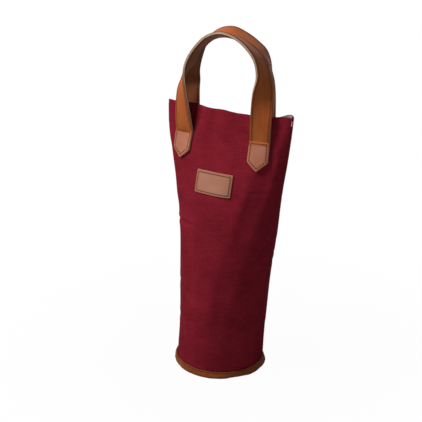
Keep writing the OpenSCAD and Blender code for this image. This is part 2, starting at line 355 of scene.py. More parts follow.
# the patch's paler, pinker colours are partly a painted sheen, as it lies flat on the canvas like the tabs
patchLeather = leatherMaterial("patchLeatherPaintedSheen", {
    **leatherLook, "body": srgb(156, 98, 72), "light": srgb(168, 112, 88), "tab": srgb(170, 114, 90),
    "smooth": srgb(158, 106, 84), "smoothLight": srgb(170, 122, 102), "coat": 0.03}, marked=True)
bindingLeather = leatherMaterial("bindingLeather", {
    **leatherLook, "dark": srgb(74, 34, 13), "body": srgb(118, 58, 24), "light": srgb(144, 76, 36), "coat": 0.04})
cutEdge = edgeMaterial("cutLeatherEdge", edgeLook)
brownThread = threadMaterial("brownThread", srgb(58, 28, 13), srgb(34, 16, 7))
redThread = threadMaterial("burgundyThread", srgb(124, 30, 42), srgb(78, 12, 22))
pinkThread = threadMaterial("palePinkThread", srgb(236, 176, 176), srgb(196, 116, 122))
liningSatin = satinMaterial("silverLining", srgb(176, 180, 180), srgb(128, 134, 136))
paleFoam = foamMaterial("paddingFoam", srgb(232, 232, 224), srgb(196, 196, 188))
greyBoard = boardMaterial("baseBoard", srgb(168, 146, 116), srgb(120, 100, 76))
print("scene: materials made")


# rows: height, half width, half depth, sideways shift, forward bow, roundness
tube = {
    "rows": [(2, 60.4, 60.4, -12, 0, 1), (12, 60.2, 60.4, -11.7, 0, 1), (55, 59.3, 62.7, -8.7, 0, 1),
             (90, 60.3, 61.8, -6.4, 0, 1), (128, 62.4, 59.3, -4.3, 0, 1), (164, 65.2, 56.2, -2.6, 0, 1),
             (200, 69.1, 52.3, -0.8, 0, 1), (238, 73.3, 46.1, -0.6, 0, 0.97), (274, 78.3, 36.5, -0.9, 0.6, 0.86),
             (300, 83.8, 27, -1.6, 1.2, 0.79), (322, 88.5, 18.8, -2, 2, 0.75), (337, 90.8, 13.9, -1.5, 3, 0.75),
             (351, 92.3, 9.8, -0.7, 4.1, 0.78), (365, 93, 6, 0, 5.2, 0.8)],
    "top": 365, "canvas": 1.0, "gap": 0.3, "foam": 3.0, "lining": 0.4, "facing": 0.8, "facingLow": 337,
    "seamDip": 0.55, "columns": 110, "rowsUp": 190, "rimSteps": 3, "cornerShare": 0.18, "middleRadius": 61.4,
    # where the padding starts and stops, and how far the lining stops below the mouth
    "foamLow": 17, "foamTop": 332, "foamSeam": 0.3, "liningDrop": {-1: 2.6, 1: 0.6},
}
tubeRows = np.array(tube["rows"], float)

# how high the mouth's edge stands against the plain rim, by place across the mouth
mouthWave = {
    "across": [-93, -84, -72, -57, -40, -28, -15, 0, 18, 32, 42, 55, 68, 76, 83, 88, 91, 93],
    "front": [0.4, 1.0, 1.9, 2.4, 1.9, 0.9, -0.1, 1.1, -0.9, -1.0, -1.7, -1.2, 0.0, 1.0, 1.6, 1.2, 1.0, 0.9],
    "back": [0.3, -0.9, -2.2, -3.6, -4.8, -5.2, -5.4, -5.2, -4.8, -5.2, -5.6, -4.6, -2.6, 0.4, 3.2, 4.2, 3.2, 1.2],
}

# soft creases: height, angle round the tube, length, width, tilt, depth
creases = [(3, 42, 24, 8.0, 0, 1.1), (211, 222, 30, 3.0, 4, 1.3), (228, 216, 46, 11.0, 0, 0.7),
           (165, 8, 30, 3.2, 14, 1.0), (268, 330, 24, 2.2, 5, 0.5), (45, 334, 34, 4.2, 22, 1.0),
           (54, 350, 30, 3.8, 26, 0.9), (341, 291, 6, 1.8, -18, 0.9), (96, 340, 34, 5.0, 20, 0.5),
           (150, 280, 46, 6.0, 8, 0.25), (182, 352, 40, 4.0, 12, 0.45), (120, 232, 40, 5.0, -12, 0.6),
           (74, 222, 34, 4.5, 10, 0.6), (210, 140, 40, 4.0, 6, 0.7), (150, 60, 44, 4.5, -10, 0.7),
           (90, 120, 44, 5.0, 12, 0.6), (260, 50, 34, 4.0, 8, 0.5), (40, 70, 34, 5.0, -18, 0.7)]

# upright folds between the straps, front and back: place across the mouth, width, depth
mouthFolds = {-1: [(6, 9, 1.3), (-12, 7, -1.5), (-27, 7, 0.6), (-50, 7, -4.0), (-36, 6, -1.2), (33, 8, -0.8),
                   (78, 6, -1.2), (87, 5, 0.8)],
              1: [(-60, 12, 0.8), (-20, 14, -0.8), (12, 12, 0.7), (64, 10, -0.8)]}


def tubeAt(z):
    return [smoothRows(z, tubeRows[:, 0], tubeRows[:, c]) for c in range(1, 6)]


def plainWall(z, degrees):
    # the tube without folds
    z, degrees = np.broadcast_arrays(np.asarray(z, float), np.asarray(degrees, float))
    width, depth, shift, bow, power = tubeAt(z)
    s, c = np.sin(np.radians(degrees)), np.cos(np.radians(degrees))
    return np.stack([shift + width * c, np.sign(s) * depth * np.abs(s) ** power - bow * s * s, z], -1)


# how the padded wall settles: the cloth is cut a little too tall and too wide for its place
settling = {"columns": 120, "rows": 96, "low": 9.0, "high": 356.0, "frames": 26, "taller": 1.02, "wider": 1.006,
            "mass": 0.25, "stretch": 14.0, "shear": 6.0, "bend": 1.2, "pressure": 1.6, "share": 0.75, "cap": 1.3}
settledField = np.zeros((settling["columns"], settling["rows"]))


def smoothField(field, times):
    for _ in range(times):
        padded = np.pad(field, ((0, 0), (1, 1)), mode="edge")
        field = (padded[:, :-2] + padded[:, 2:] + np.roll(field, 1, 0) + np.roll(field, -1, 0) + 2 * field) / 6
    return field


def settleWall():
    # cloth simulation of the whole tube, held at the base, the mouth and along the two side seams
    columns, rows = settling["columns"], settling["rows"]
    degrees = np.linspace(0, 360, columns, endpoint=False)[:, None]
    heights = np.linspace(settling["low"], settling["high"], rows)[None, :]
    start = plainWall(heights, degrees)
    tall = start * np.array([settling["wider"], settling["wider"], settling["taller"]])
    tube3d = makePiece("settlingTube", start, quadGrid(columns, rows, wrapRows=True).tolist(), [])
    tube3d.shape_key_add(name="Basis")
    cut = tube3d.shape_key_add(name="cut")
    cut.data.foreach_set("co", (tall.reshape(-1, 3) * mm).astype(np.float32).ravel())
    held = tube3d.vertex_groups.new(name="held")
    hold = 1 - ease(heights, settling["low"] + 2, settling["low"] + 12)
    hold = hold + ease(heights, settling["high"] - 14, settling["high"] - 3)
    seam = 0.5 * hump((degrees + 90) % 180 - 90, 0, 3.0)
    for k, weight in enumerate(np.clip(hold + seam, 0, 1).ravel()):
        held.add([k], float(weight), "REPLACE")
    modifier = tube3d.modifiers.new("settle", "CLOTH")
    cloth = modifier.settings
    cloth.quality = 6
    cloth.mass = settling["mass"]
    cloth.tension_stiffness = cloth.compression_stiffness = settling["stretch"]
    cloth.shear_stiffness = settling["shear"]
    cloth.bending_stiffness = settling["bend"]
    cloth.vertex_group_mass = "held"
    cloth.rest_shape_key = cut
    cloth.use_pressure = True
    cloth.uniform_pressure_force = settling["pressure"]
    cloth.effector_weights.gravity = 0.0
    modifier.point_cache.frame_start, modifier.point_cache.frame_end = 1, settling["frames"]
    stage = bpy.context.scene
    for frameNumber in range(1, settling["frames"] + 1):
        stage.frame_set(frameNumber)
    done = tube3d.evaluated_get(bpy.context.evaluated_depsgraph_get()).data
    moved = np.empty(len(done.vertices) * 3, np.float32)
    done.vertices.foreach_get("co", moved)
    stage.frame_set(1)
    moved = moved.reshape(columns, rows, 3).astype(float) / mm - start
    width, depth = tubeAt(heights)[:2]
    turn = np.radians(degrees)
    out = np.stack(np.broadcast_arrays(np.cos(turn) / width, np.sin(turn) / depth), -1)
    field = (moved[..., :2] * unit(out)).sum(-1)
    bpy.data.objects.remove(tube3d)
    # only the folds are kept, and the tube's own girth stays
    field = smoothField(field, 2) - smoothField(field, 160)
    print("scene: wall settled, folds of", round(float(field.min()), 2), "to", round(float(field.max()), 2), "mm")
    return settling["cap"] * np.tanh(field * settling["share"] / settling["cap"])


def settled(z, degrees):
    # the settled folds at any height and angle
    columns, rows = settledField.shape
    upShare = (np.asarray(z, float) - settling["low"]) / (settling["high"] - settling["low"])
    u, v = np.broadcast_arrays(np.asarray(degrees, float) % 360 / 360 * columns, upShare * (rows - 1))
    v = np.clip(v, 0, rows - 1.001)
    i, j = np.floor(u).astype(int), np.floor(v).astype(int)
    p, q, i, k = u - i, v - j, i % columns, (i + 1) % columns
    inside = (1 - p) * ((1 - q) * settledField[i, j] + q * settledField[i, j + 1]) + p * (
        (1 - q) * settledField[k, j] + q * settledField[k, j + 1])
    return inside * ease(z, 10, 28) * (1 - ease(z, 338, 356))


settledField = settleWall()


def foldDepth(z, degrees):
    # how far the wall stands out from the plain tube, in millimetres
    turn = np.radians(degrees)
    out = np.zeros(np.broadcast(z, degrees).shape)
    for height, angle, length, width, tilt, depth in creases:
        away = (degrees - angle + 180) % 360 - 180
        x, y = np.radians(away) * tube["middleRadius"], z - height
        c, s = math.cos(math.radians(tilt)), math.sin(math.radians(tilt))
        along, over = x * c + y * s, y * c - x * s
        banks = 0.45 * hump(over, 1.6 * width, width) + 0.35 * hump(over, -1.7 * width, width)
        out += depth * hump(along, 0, length) * (banks - hump(over, 0, width))
    # slow waves round the tube and soft upright folds between the straps
    calm = ease(z, 12, 60) * (1 - 0.6 * ease(z, 300, 340))
    out += calm * (0.35 * np.sin(3 * turn + z / 37.0) + 0.25 * np.sin(5 * turn - z / 23.0 + 1.3))
    nearMouth = 0.8 * ease(z, 320, 356) + 0.2 * ease(z, 230, 320)
    across = 92 * np.cos(turn)
    for side, folds in mouthFolds.items():
        here = nearMouth * (np.sign(np.sin(turn)) == side)
        for place, width, depth in folds:
            out += here * depth * hump(across, place, width)
    return out + settled(z, degrees)


def seamDip(degrees, z):
    # the side seams are pulled in a little, and pucker along their length
    away = np.minimum(np.abs((degrees + 180) % 360 - 180), np.abs(degrees % 360 - 180))
    arc = np.radians(away) * 62
    flat = 1 - ease(z, 300, 350)
    pucker = 0.12 * np.sin(z / 2.4) * hump(arc, 3.0, 2.2)
    return -tube["seamDip"] * hump(arc, 0, 1.5) * (0.35 + 0.65 * flat) + pucker * flat


def wallPoint(z, degrees, inward):
    z, degrees = np.broadcast_arrays(np.asarray(z, float), np.asarray(degrees, float))
    width, depth, shift, bow, power = tubeAt(z)
    turn = np.radians(degrees)
    s, c = np.sin(turn), np.cos(turn)
    back = ease(s, -0.02, 0.02)
    out = foldDepth(z, degrees) + seamDip(degrees, z) - inward
    x = shift + (width + out) * c
    y = np.sign(s) * (depth + out) * np.abs(s) ** power - bow * s * s
    # the mouth's edge rises and falls, and the back edge hangs a little lower than the front one
    frontRise, backRise = (np.interp(x, mouthWave["across"], mouthWave[word]) for word in ("front", "back"))
    lift = ease(z, 318, tube["top"]) * ((1 - back) * frontRise + back * backRise)
    return np.stack([x, y, z + lift], -1)


def panelAngles(side, count, seam):
    # even steps along the cloth, not of the angle, so that the flat mouth keeps its corners
    first = (180 if side < 0 else 0) + seam
    t = np.linspace(0, 1, count)
    t = t - tube["cornerShare"] * np.sin(4 * math.pi * t) / (4 * math.pi)
    return first + t * (180 - 2 * seam)


def shellPiece(name, side, heights, outward, inward, material, columns, seam=0.0):
    # a closed layer of the wall between two depths, with a rounded upper edge
    angles = panelAngles(side, columns, seam)
    outward, inward = np.broadcast_to(outward, heights.shape), np.broadcast_to(inward, heights.shape)
    radius = (inward[-1] - outward[-1]) / 2
    loop = list(zip(heights[:-1], outward[:-1]))
    for k in range(tube["rimSteps"] + 1):
        a = math.pi * k / tube["rimSteps"]
        loop.append((heights[-1] - radius + radius * math.sin(a), outward[-1] + radius - radius * math.cos(a)))
    loop = np.array(loop + list(zip(heights[-2::-1], inward[-2::-1])))
    grid = wallPoint(loop[None, :, 0], angles[:, None], loop[None, :, 1])
    x, y = np.radians(angles) * tube["middleRadius"] * mm, loop[:, 0] * mm
    place = np.stack(np.broadcast_arrays(x[:, None], y[None, :], loop[None, :, 1] * mm), -1)
    return makePiece(name, grid, loftLoops(grid, flip=side < 0), [material], cloth=place)


# how deep each layer of the wall starts, from the outer face of the canvas
canvasIn = tube["canvas"]
foamOut = facingOut = canvasIn + tube["gap"]
liningOut = foamOut + tube["foam"] + tube["gap"]
mouthLiningOut = facingOut + tube["facing"] + tube["gap"]
foamLow, foamTop, facingLow, top = tube["foamLow"], tube["foamTop"], tube["facingLow"], tube["top"]

for side, word in ((-1, "front"), (1, "back")):
    canvas = shellPiece(word + "_canvas", side, np.linspace(2, top, tube["rowsUp"]), 0.0, canvasIn, canvasCloth,
                        tube["columns"])
    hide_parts(word + "_panel")
    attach(canvas, "bag")
    facing = shellPiece(word + "_facing_cloth", side, np.linspace(facingLow, top - 0.5, 16), facingOut,
                        facingOut + tube["facing"], facingCloth, tube["columns"])
    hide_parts(word + "_facing")
    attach(facing, "bag")
    foam = shellPiece(word + "_padding", side, np.linspace(foamLow, foamTop, 60), foamOut, foamOut + tube["foam"],
                      paleFoam, 60, tube["foamSeam"])
    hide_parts(word + "_foam")
    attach(foam, "bag")
    # the lining steps outwards above the foam, behind the facing
    z = np.concatenate([np.linspace(foamLow, foamTop + 1, 60),
                        np.linspace(facingLow - 1.5, top - tube["liningDrop"][side], 18)])
    outside = np.where(z > foamTop + 2, mouthLiningOut, liningOut)
    inner = shellPiece(word + "_lining_cloth", side, z, outside, outside + tube["lining"], liningSatin, 90)
    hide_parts(word + "_lining")
    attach(inner, "bag")
print("scene: tube made")

# the canvas as a surface to lay leather and stitches on
canvasTrees = {}
for side, word in ((-1, "front"), (1, "back")):
    mesh = bpy.data.objects[word + "_canvas"].data
    corners, facets = [v.co.copy() for v in mesh.vertices], [list(p.vertices) for p in mesh.polygons]
    canvasTrees[side] = BVHTree.FromPolygons(corners, facets)


def canvasDepth(side, x, z):
    # where the outer face of the canvas is, looking straight at it
    hit = canvasTrees[side].ray_cast(Vector((x * mm, side * 0.2, z * mm)), Vector((0, -side, 0)))[0]
    return hit.y / mm if hit else 0.0


def stitchRun(line, normals, pitch, length, radius):
    # a row of short threads along a line of points, each dipping into the leather at its ends
    line, normals = np.asarray(line, float), np.asarray(normals, float)
    arc = np.concatenate([[0], np.cumsum(np.linalg.norm(np.diff(line, axis=0), axis=1))])
    count = max(1, int(round(arc[-1] / pitch)))
    step = arc[-1] / count
    points, faces = [], []
    sides, rings = 6, 5
    t = np.linspace(0, 1, rings)
    bulge = np.sqrt(np.clip(1 - (2 * t - 1) ** 2, 0, 1))
    swell = radius * (0.35 + 0.65 * bulge)
    for n in range(count):
        at = (n + 0.5) * step - length / 2 + t * length
        centre, up = (np.stack([np.interp(at, arc, table[:, k]) for k in range(3)], -1) for table in (line, normals))
        up = unit(up)
        sideways = np.cross(unit(np.gradient(centre, axis=0)), up)
        centre = centre + up * (radius * (1.1 * bulge - 0.55))[:, None]
        for k in range(rings):
            for j in range(sides):
                a = 2 * math.pi * j / sides
                points.append(centre[k] + swell[k] * (math.cos(a) * sideways[k] + math.sin(a) * up[k]))
        first = len(points) - rings * sides
        faces += quadGrid(rings, sides, first, wrapCols=True).tolist()
        faces.append([first + j for j in range(sides)][::-1])
        faces.append([first + (rings - 1) * sides + j for j in range(sides)])
    return points, faces


def stitchPiece(name, runs, material):
    points, faces = [], []
    for line, normals, look in runs:
        morePoints, moreFaces = stitchRun(line, normals, **look)
        faces += [[i + len(points) for i in face] for face in moreFaces]
        points += morePoints
    return makePiece(name, points, faces, [material])


strap = {
    "width": 27.0, "ply": 1.55, "glue": 0.1, "spacing": 113.0, "rowHeight": 332.0, "middle": -1.0, "offCanvas": 0.25,
    "tabLength": 36.0, "tabPoint": 11.5, "tipHalf": 0.7, "inset": 2.7, "groove": 0.28, "groovePitch": 3.0,
    "rowDrop": 1.6, "round": 0.45, "cupReach": 24, "cupColumns": 13, "backShift": -7.0, "loopSteps": 9, "tabSteps": 30,
    "stitch": {"pitch": 3.3, "length": 1.7, "radius": 0.82}, "crossPitch": 3.1,
    # how far the left and right legs of the front strap stand off their plain place, and lean over the tab's length
    "legShift": {-1: (-0.8, -2.6), 1: (-1.5, 0.0)},
    # both edges of the strap as x, y and height above the cross row, from the left foot to the right one
    "front": [(-46, -20.5, 25.5, -71, -13, 25.5), (-51.5, -21.5, 53.5, -73, -5, 53.5),
              (-54, -22, 73.5, -63.5, 2.5, 73.5), (-50.5, -22, 91.5, -49, 4.5, 89.7), (-38.5, -22, 110, -38, 4.5, 109),
              (-21, -22, 126.3, -19.5, 4.5, 122.6), (0, -22, 133, 0.5, 3.7, 124.8), (20, -22, 129, 17.5, 4, 122.2),
              (37.5, -22, 117.5, 34, 4.2, 113), (49, -22, 102.5, 48.5, 4.5, 101), (52.5, -22, 83.5, 56, 3.5, 83.5),
              (48.5, -21.5, 61.5, 64, -4.5, 61.5), (45.5, -20.5, 29.5, 70, -13, 29.5)],
    "back": [(-78.5, 8, 25.5, -52.5, 13, 25.5), (-77.5, 5.5, 51.5, -56.5, 19, 51.5), (-68.5, 6, 75, -63.5, 29, 69.5),
             (-58.5, 6.5, 92, -59.5, 31, 91), (-46.5, 7, 107, -50.5, 32, 111), (-29, 7.2, 118, -33.5, 32, 126),
             (-12, 7.4, 122.8, -13, 32.5, 131), (6, 7.4, 121.6, 5.5, 33, 125.4), (24, 7.4, 116, 23.5, 33, 115.5),
             (38.5, 7.2, 107, 36.5, 32.5, 104.6), (50.3, 10.5, 94.5, 43, 31, 87), (56.6, 9.5, 81.5, 43.5, 27, 76),
             (62.3, 5.5, 66.5, 43, 20.5, 61), (62.5, 9, 33.5, 37, 15.5, 33.5)],
}
loopRise = 99.0  # stands on the loop for the height above the tip of a tab


def catmull(rows, s):
    m = len(rows) - 1
    i = min(int(math.floor(s)), m - 1)
    t = s - i
    a, b, c, d = rows[max(i - 1, 0)], rows[i], rows[i + 1], rows[min(i + 2, m)]
    return 0.5 * (2 * b + (c - a) * t + (2 * a - 5 * b + 4 * c - d) * t * t + (3 * b - a - 3 * c + d) * t**3)


class StrapPath:
    # stations along one strap: middle, direction across, outward normal, and how the strap cups to the canvas
    def __init__(self, side, firstEdge, rows, shift):
        self.side, half = side, strap["width"] / 2
        rowZ, x0, low = strap["rowHeight"], strap["middle"] + shift, strap["tabLength"]
        thick = 2 * strap["ply"] + strap["glue"]
        self.rest = strap["offCanvas"] + thick * 1.05 / 2
        inner, outer = strap["spacing"] / 2 - half, strap["spacing"] / 2 + half
        near, far = (inner, outer) if firstEdge == "inner" else (outer, inner)
        feet = [(-near, -far), (near, far)]
        body = [np.array(r, float) + np.array([strap["middle"], 0, rowZ] * 2) for r in rows]
        ends = [self.footRow(x0 + a, x0 + b, rowZ + 0.6) for a, b in feet]
        edges = [ends[0]] + body + [ends[1]]
        for e in edges:
            share = (side < 0) * (1 - float(ease(e[2], rowZ + 15, rowZ + 65)))
            e[[0, 3]] += share * strap["legShift"][-1 if e[0] < 0 else 1][0]
        loop = [catmull(edges, k / strap["loopSteps"]) for k in range((len(edges) - 1) * strap["loopSteps"] + 1)]
        # each tab from its tip to the cross row, with closer rows near the point
        rise = np.linspace(0, 1, strap["tabSteps"]) ** 1.25 * low
        tabs = []
        for a, b in feet:
            aside, lean = strap["legShift"][-1 if a < 0 else 1] if side < 0 else (0.0, 0.0)
            moved = aside + lean * (1 - rise / low)
            tabs.append([self.footRow(x0 + a + m, x0 + b + m, rowZ - low + r) for m, r in zip(moved, rise)])
        everything = np.array(tabs[0] + loop + tabs[1][::-1])
        first, second = everything[:, :3], everything[:, 3:]
        self.centre = (first + second) / 2
        self.across = unit(second - first)
        ahead = unit(np.gradient(self.centre, axis=0))
        self.normal = unit(np.cross(ahead, self.across))
        self.tabRise = np.concatenate([rise, np.full(len(loop), loopRise), rise[::-1]])
        gaps = np.linalg.norm(np.diff(self.centre, axis=0), axis=1)
        self.arc = np.concatenate([[0], np.cumsum(gaps)])
        self.length = self.arc[-1]
        self.tabEnds = (self.arc[len(rise) - 1], self.arc[-len(rise)])
        # the tab follows the canvas between its two edges, and the loop flattens out above it
        self.cupColumns = np.linspace(-half, half, strap["cupColumns"])
        share = (self.cupColumns + half) / (2 * half)
        cups = []
        for c, a in zip(self.centre, self.across):
            fade = 1.0 - float(ease(c[2], rowZ, rowZ + strap["cupReach"]))
            depths = [canvasDepth(side, c[0] + a[0] * w, min(c[2], rowZ)) for w in self.cupColumns]
            cups.append((np.array(depths) - depths[0] - (depths[-1] - depths[0]) * share) * side * fade)
        self.cups = np.array(cups)

    def footRow(self, xa, xb, z):
        ya, yb = (canvasDepth(self.side, x, z) + self.side * self.rest for x in (xa, xb))
        return np.array([xa, ya, z, xb, yb, z])

    def halfWidth(self, rise):
        half, tip, least = strap["width"] / 2, strap["tabPoint"], strap["tipHalf"]
        return np.where(rise >= tip, half, least + (half - least) * np.clip(rise / tip, 0, 1))

    def outlineGap(self, rise, w):
        # distance from a point of the strap to its cut edge
        half, tip = strap["width"] / 2, strap["tabPoint"]
        plain = half - np.abs(w)
        slanted = (rise / tip - np.abs(w) / half) / math.hypot(1 / tip, 1 / half)
        return np.minimum(plain, slanted)

    def at(self, s, w, lift):
        # a point at length s, w across the strap, lifted off its middle
        s, w, lift = np.broadcast_arrays(np.asarray(s, float), np.asarray(w, float), np.asarray(lift, float))
        centre, across, normal = (np.stack([np.interp(s, self.arc, table[:, k]) for k in range(3)], -1)
                                  for table in (self.centre, self.across, self.normal))
        across, normal = unit(across), unit(normal)
        i = np.clip(np.searchsorted(self.arc, s) - 1, 0, len(self.arc) - 2)
        t = np.clip((s - self.arc[i]) / np.maximum(self.arc[i + 1] - self.arc[i], 1e-9), 0, 1)
        span = self.cupColumns[1] - self.cupColumns[0]
        p = np.clip((w - self.cupColumns[0]) / span, 0, len(self.cupColumns) - 1.001)
        j = p.astype(int)
        f = p - j
        cup = ((1 - t) * ((1 - f) * self.cups[i, j] + f * self.cups[i, j + 1])
               + t * ((1 - f) * self.cups[i + 1, j] + f * self.cups[i + 1, j + 1]))
        return centre + across * w[..., None] + normal * (lift + cup)[..., None], normal


def roundedDrop(gap, radius):
    # how far a face falls away within a rounded edge
    short = radius - np.clip(gap, 0, radius)
    return np.where(gap < radius, radius - np.sqrt(np.clip(radius**2 - short**2, 0, None)), 0)


def plyPiece(name, path, outerFace, faceMaterial):
    ply, glue, inset, drop = strap["ply"], strap["glue"], strap["inset"], strap["rowDrop"]
    low, high = (glue / 2, glue / 2 + ply) if outerFace else (-glue / 2 - ply, -glue / 2)
    stations, rise = path.arc, path.tabRise
    shares = np.array([0.0, 0.35, 0.8, 1.4, 2.0, 2.45, 2.7, 2.95, 3.4, 4.2, 5.6, 7.5, 10.0]) / 13.5
    columns = np.concatenate([-1 + shares, [0.0], 1 - shares[::-1]])
    w = columns[None, :] * path.halfWidth(rise)[:, None]
    gap = path.outlineGap(rise[:, None], w)
    # stitched face: rounded over at the cut edge, drawn in along the stitches, a little full between them
    pull = strap["groove"] * (0.8 + 0.2 * np.cos(2 * math.pi * stations[:, None] / strap["groovePitch"]))
    crossGap = np.minimum(np.abs(stations - path.tabEnds[0] + drop), np.abs(stations - path.tabEnds[1] - drop))[:, None]
    crossDrop = 0.5 * strap["groove"] * hump(crossGap, 0, 0.8) * ease(gap, inset - 0.4, inset + 0.2)
    grooveDrop = np.maximum(pull * hump(gap, inset, 0.55), crossDrop)
    faceDrop = roundedDrop(gap, strap["round"]) + grooveDrop - 0.1 * ease(gap, 3.2, 7)
    gluedDrop = np.where(gap < 0.12, 0.1, 0.0)
    faceOut = high - (faceDrop if outerFace else gluedDrop)
    faceIn = low + (gluedDrop if outerFace else faceDrop)
    s = np.broadcast_to(stations[:, None], w.shape)
    loops = np.concatenate([path.at(s, w, faceOut)[0], path.at(s, w, faceIn)[0][:, ::-1]], 1)
    faces = loftLoops(loops)
    n = len(columns)
    lifts = np.concatenate([np.full(n, high), np.full(n, low)])
    place = np.stack(np.broadcast_arrays(s[:, :1], bothFaces(w), lifts[None, :]), -1) * mm
    # faces between the two sides are the cut edges
    kinds = []
    for face in faces:
        spots = {i % (2 * n) for i in face}
        kinds.append(int(spots <= {n - 1, n} or spots <= {0, 2 * n - 1}))
    below = (strap["tabLength"] - rise)[:, None]
    smooth = ease(gap, inset + 0.1, inset + 0.75) * ease(below, drop + 1.6, drop + 2.6) * outerFace
    smooth = np.where(gap < 0.7, gap / 0.7 - 1, smooth)
    # onTab marks the tabs, which get a painted sheen
    onTab = np.broadcast_to(ease(below, 1.5, 6) * outerFace, w.shape)
    # the groove mark says where the stitch groove gets painted shade, less on the loop
    groove = hump(gap, inset, 0.5) * outerFace * (0.35 + 0.65 * (rise < loopRise))[:, None]
    marks = np.stack([bothFaces(part) for part in (smooth, onTab, groove)], -1)
    return makePiece(name, loops, faces, [faceMaterial, cutEdge], kinds, place, marks)


def strapStitches(path):
    runs = []
    lift = strap["glue"] / 2 + strap["ply"] - strap["groove"]
    half, inset, tip, look = strap["width"] / 2, strap["inset"], strap["tabPoint"], strap["stitch"]
    side = half - inset
    slope = math.hypot(1 / tip, 1 / half)
    # where the two slanted rows meet, where they meet the straight ones, and where those stop
    meet, turn = inset * slope * tip, (inset * slope + side / half) * tip
    stop = strap["tabLength"] - 1.2 - strap["rowDrop"]
    rise = np.concatenate([np.linspace(meet, turn, 30), np.linspace(turn + 0.5, stop, 30)])
    tabs = (slice(strap["tabSteps"]), slice(-1, -strap["tabSteps"] - 1, -1))
    for tab, end, drop in zip(tabs, path.tabEnds, (-strap["rowDrop"], strap["rowDrop"])):
        s = np.interp(rise, path.tabRise[tab], path.arc[tab])
        for hand in (-1, 1):
            w = np.concatenate([np.linspace(0, side, 30), np.full(30, side)]) * hand
            runs.append((*path.at(s, w, lift), look))
        cross = path.at(np.full(30, end + drop), np.linspace(-side, side, 30), lift)
        runs.append((*cross, {**look, "pitch": strap["crossPitch"]}))
    s = np.linspace(path.tabEnds[0] + 2.0, path.tabEnds[1] - 2.0, 400)
    for hand in (-1, 1):
        runs.append((*path.at(s, np.full(400, hand * side), lift), look))
        line, normal = path.at(s, np.full(400, hand * side), -lift)
        runs.append((line, -normal, look))
    return runs


paths = {"front": StrapPath(-1, "inner", strap["front"], 0.0),
         "back": StrapPath(1, "outer", strap["back"], strap["backShift"])}
for word, path in paths.items():
    outer = plyPiece(word + "_strap_outer", path, True, strapLeather)
    inner = plyPiece(word + "_strap_inner", path, False, shadedInsideLeather)
    threads = stitchPiece(word + "_strap_stitches", strapStitches(path), brownThread)
    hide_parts(word + "_handle_outer_ply", word + "_left_tab", word + "_right_tab")
    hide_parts(word + "_handle_inner_ply")
    for piece in (outer, inner, threads):
        word + "_handle"
        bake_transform(piece)
print("scene: straps made")


patch = {"width": 53.6, "height": 28.4, "thick": 1.5, "centreZ": 273.5, "centreX": -1.6, "inset": 2.6, "off": 0.25,
         "round": 0.5, "corner": 1.2, "groove": 0.24, "stitch": {"pitch": 3.15, "length": 1.6, "radius": 0.82}}


def patchGrid(half):
    # rows that are closer along the edge and the stitches
    rim = np.array([0, 0.15, 0.4, 0.8, 1.5, 2.1, 2.45, 2.75, 3.1, 3.7, 5.0])
    return np.concatenate([rim - half, np.linspace(6.5 - half, half - 6.5, 17), (half - rim)[::-1]])


def patchPiece():
    w, h, t, inset, corner = patch["width"] / 2, patch["height"] / 2, patch["thick"], patch["inset"], patch["corner"]
    xs, zs = patchGrid(w), patchGrid(h)
    gx, gz = np.meshgrid(xs, zs, indexing="ij")
    under = np.array([[canvasDepth(-1, patch["centreX"] + x, patch["centreZ"] + z) for z in zs] for x in xs])
    under = under - patch["off"]
    gap = np.minimum(w - np.abs(gx), h - np.abs(gz))
    drop = roundedDrop(gap, patch["round"]) + patch["groove"] * hump(gap, inset, 0.5) - 0.12 * ease(gap, 3.2, 9)
    # corners a little rounded
    cx, cz = np.clip(np.abs(gx) - (w - corner), 0, None), np.clip(np.abs(gz) - (h - corner), 0, None)
    reach = np.maximum(np.hypot(cx, cz), 1e-9)
    shrink = np.where((cx > 0) & (cz > 0), np.minimum(1, np.maximum(cx, cz) / reach), 1)
    px = np.where(cx > 0, np.sign(gx) * (w - corner + cx * shrink), gx) + patch["centreX"]
    pz = np.where(cz > 0, np.sign(gz) * (h - corner + cz * shrink), gz) + patch["centreZ"]
    loops = np.concatenate([np.stack([px, under - t + drop, pz], -1), np.stack([px, under, pz], -1)[:, ::-1]], 1)
    lifts = np.concatenate([gx * 0 + t, gx * 0], 1)
    place = np.stack([bothFaces(gx), bothFaces(gz), lifts], -1) * mm
    # smooth leather inside the stitches, a share of the tab colour, which is a painted sheen, and the groove, which
    # gets painted shade
    shapes = (ease(gap, inset + 0.1, inset + 0.8), gap * 0 + 0.8, hump(gap, inset, 0.5))
    marks = np.stack([bothFaces(part) for part in shapes], -1)
    return makePiece("blank_patch", loops, loftLoops(loops), [patchLeather], None, place, marks)


patchObject = patchPiece()
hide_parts("leather_patch")
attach(patchObject, "bag")
runs = []
w, h = patch["width"] / 2 - patch["inset"], patch["height"] / 2 - patch["inset"]
lift = patch["off"] + patch["thick"] - 0.22
for a, b in (((-w, -h), (w, -h)), ((w, -h), (w, h)), ((w, h), (-w, h)), ((-w, h), (-w, -h))):
    spots = np.linspace(a, b, 24) + (patch["centreX"], patch["centreZ"])
    line = [(x, canvasDepth(-1, x, z) - lift, z) for x, z in spots]
    runs.append((line, np.tile([0.0, -1.0, 0.1], (24, 1)), patch["stitch"]))
patchThreads = stitchPiece("patch_stitches", runs, brownThread)
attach(patchThreads, "bag")
print("scene: patch made")


